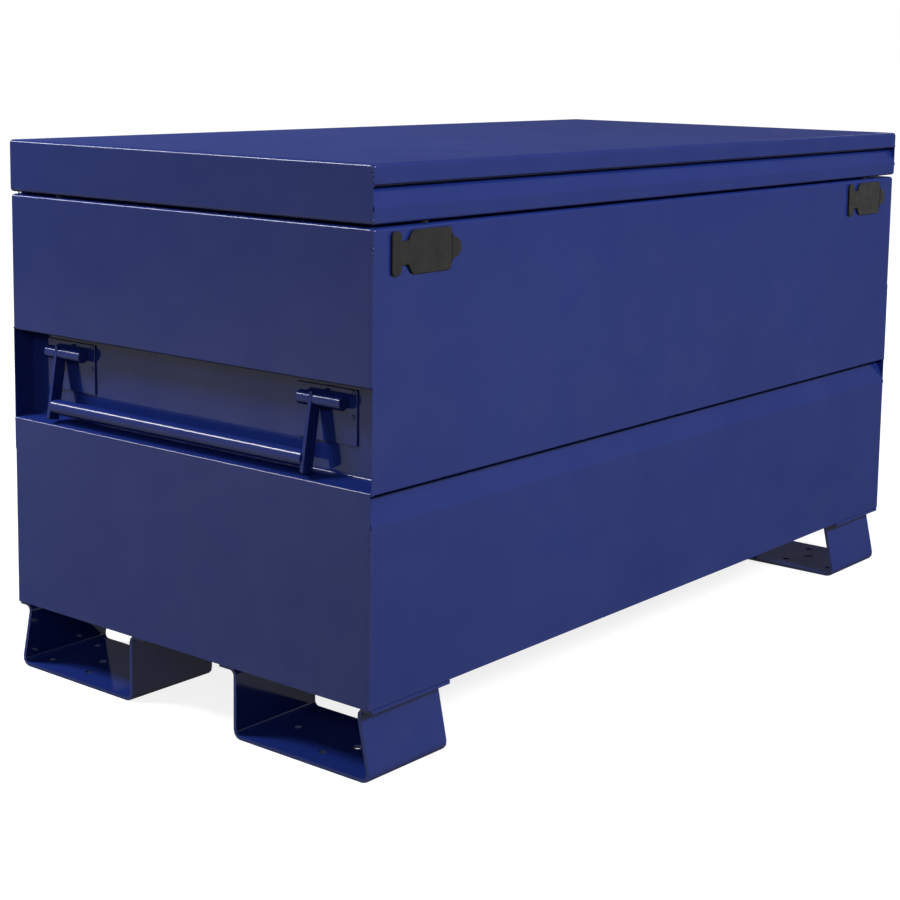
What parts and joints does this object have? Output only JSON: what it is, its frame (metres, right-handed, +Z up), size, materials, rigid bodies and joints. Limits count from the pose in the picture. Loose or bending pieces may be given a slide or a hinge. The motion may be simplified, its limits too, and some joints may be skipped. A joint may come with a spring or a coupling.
{
  "type": "jobsite storage box",
  "caption": "Steel chest on bent-plate feet, with a hinged lid held up by gas struts, a drop handle in a pocket at each end, and lock ports behind rubber covers.",
  "frame": {"origin": "on the floor, midway between the ends and midway between the lock covers' outer faces and the hinge's knuckles", "axes": "+X to the right along the front, +Y from the front to the rear, +Z up; the front faces -Y"},
  "size_m": [1.223, 0.6238, 0.682],
  "materials": {
    "enamel": "glossy dark blue enamel with a fine orange peel",
    "rubber": "matt black rubber",
    "zinc": "zinc plated",
    "black_steel": "satin black paint",
    "chrome": "polished hard chrome"
  },
  "bodies": {
    "root": {"front_panel": "enamel", "rear_panel": "enamel", "end_panel_left": "enamel", "end_panel_right": "enamel", "floor_pan": "enamel", "foot_front_left": "enamel", "foot_front_right": "enamel", "foot_rear_left": "enamel", "foot_rear_right": "enamel", "handle_left_front_pivot": "enamel", "handle_left_front_plate": "enamel", "handle_left_rear_pivot": "enamel", "handle_left_rear_plate": "enamel", "handle_right_front_pivot": "enamel", "handle_right_front_plate": "enamel", "handle_right_rear_pivot": "enamel", "handle_right_rear_plate": "enamel", "lock_housing_left": "enamel", "lock_housing_right": "enamel", "lock_staple_left": "enamel", "lock_staple_right": "enamel", "lock_cover_left_strip": "rubber", "lock_cover_right_strip": "rubber", "lid_bumper_front_left": "rubber", "lid_bumper_front_right": "rubber", "lid_bumper_rear_left": "rubber", "lid_bumper_rear_right": "rubber", "hinge_leaf_body": "enamel", "hinge_pin": "zinc", "strut_bracket_body_left": "zinc", "strut_bracket_body_right": "zinc"},
    "lid": {"lid_panel": "enamel", "lid_end_left": "enamel", "lid_end_right": "enamel", "lid_stiffener_1": "enamel", "lid_stiffener_2": "enamel", "lid_stiffener_3": "enamel", "lid_hasp_left": "enamel", "lid_hasp_right": "enamel", "hinge_leaf_lid": "enamel", "strut_bracket_lid_left": "zinc", "strut_bracket_lid_right": "zinc"},
    "handle_left": {"handle_left_bar": "enamel", "handle_left_front_arm": "enamel", "handle_left_rear_arm": "enamel"},
    "handle_right": {"handle_right_bar": "enamel", "handle_right_front_arm": "enamel", "handle_right_rear_arm": "enamel"},
    "lock_cover_left": {"lock_cover_left_flap": "rubber"},
    "lock_cover_right": {"lock_cover_right_flap": "rubber"},
    "strut_cylinder_left": {"strut_cylinder_left": "black_steel"},
    "strut_cylinder_right": {"strut_cylinder_right": "black_steel"},
    "strut_rod_left": {"strut_rod_left": "chrome"},
    "strut_rod_right": {"strut_rod_right": "chrome"}
  },
  "joints": [
    {"name": "lid_hinge", "type": "hinge", "parent": "root", "child": "lid", "pos_m": [0, 0.30685, 0.6155], "axis": [-1, 0, 0], "range_deg": [0, 90]},
    {"name": "handle_left_swing", "type": "hinge", "parent": "root", "child": "handle_left", "pos_m": [-0.5901, -0.00325, 0.4166], "axis": [0, 1, 0], "range_deg": [0, 80]},
    {"name": "handle_right_swing", "type": "hinge", "parent": "root", "child": "handle_right", "pos_m": [0.5901, -0.00325, 0.4166], "axis": [0, -1, 0], "range_deg": [0, 80]},
    {"name": "lock_cover_left_swing", "type": "hinge", "parent": "root", "child": "lock_cover_left", "pos_m": [-0.5586, -0.3101, 0.585], "axis": [0, 0, -1], "range_deg": [0, 110], "stiffness_Nm_per_rad": 0.02},
    {"name": "lock_cover_right_swing", "type": "hinge", "parent": "root", "child": "lock_cover_right", "pos_m": [0.4826, -0.3101, 0.585], "axis": [0, 0, -1], "range_deg": [0, 110], "stiffness_Nm_per_rad": 0.02},
    {"name": "strut_tilt_left", "type": "hinge", "parent": "root", "child": "strut_cylinder_left", "pos_m": [-0.5576, 0.22685, 0.5455], "axis": [-1, 0, 0], "range_deg": [0, 77]},
    {"name": "strut_tilt_right", "type": "hinge", "parent": "root", "child": "strut_cylinder_right", "pos_m": [0.5576, 0.22685, 0.5455], "axis": [-1, 0, 0], "range_deg": [0, 77]},
    {"name": "strut_extend_left", "type": "slide", "parent": "strut_cylinder_left", "child": "strut_rod_left", "axis": [0, -0.817, 0.5767], "range_m": [0, 0.1374]},
    {"name": "strut_extend_right", "type": "slide", "parent": "strut_cylinder_right", "child": "strut_rod_right", "axis": [0, -0.817, 0.5767], "range_m": [0, 0.1374]}
  ],
  "couplings": [
    {"joint": "strut_tilt_left", "follows": "lid_hinge", "ratio": 0.85435},
    {"joint": "strut_tilt_right", "follows": "lid_hinge", "ratio": 0.85435},
    {"joint": "strut_extend_left", "follows": "lid_hinge", "m_per_rad": 0.087416},
    {"joint": "strut_extend_right", "follows": "lid_hinge", "m_per_rad": 0.087416}
  ]
}
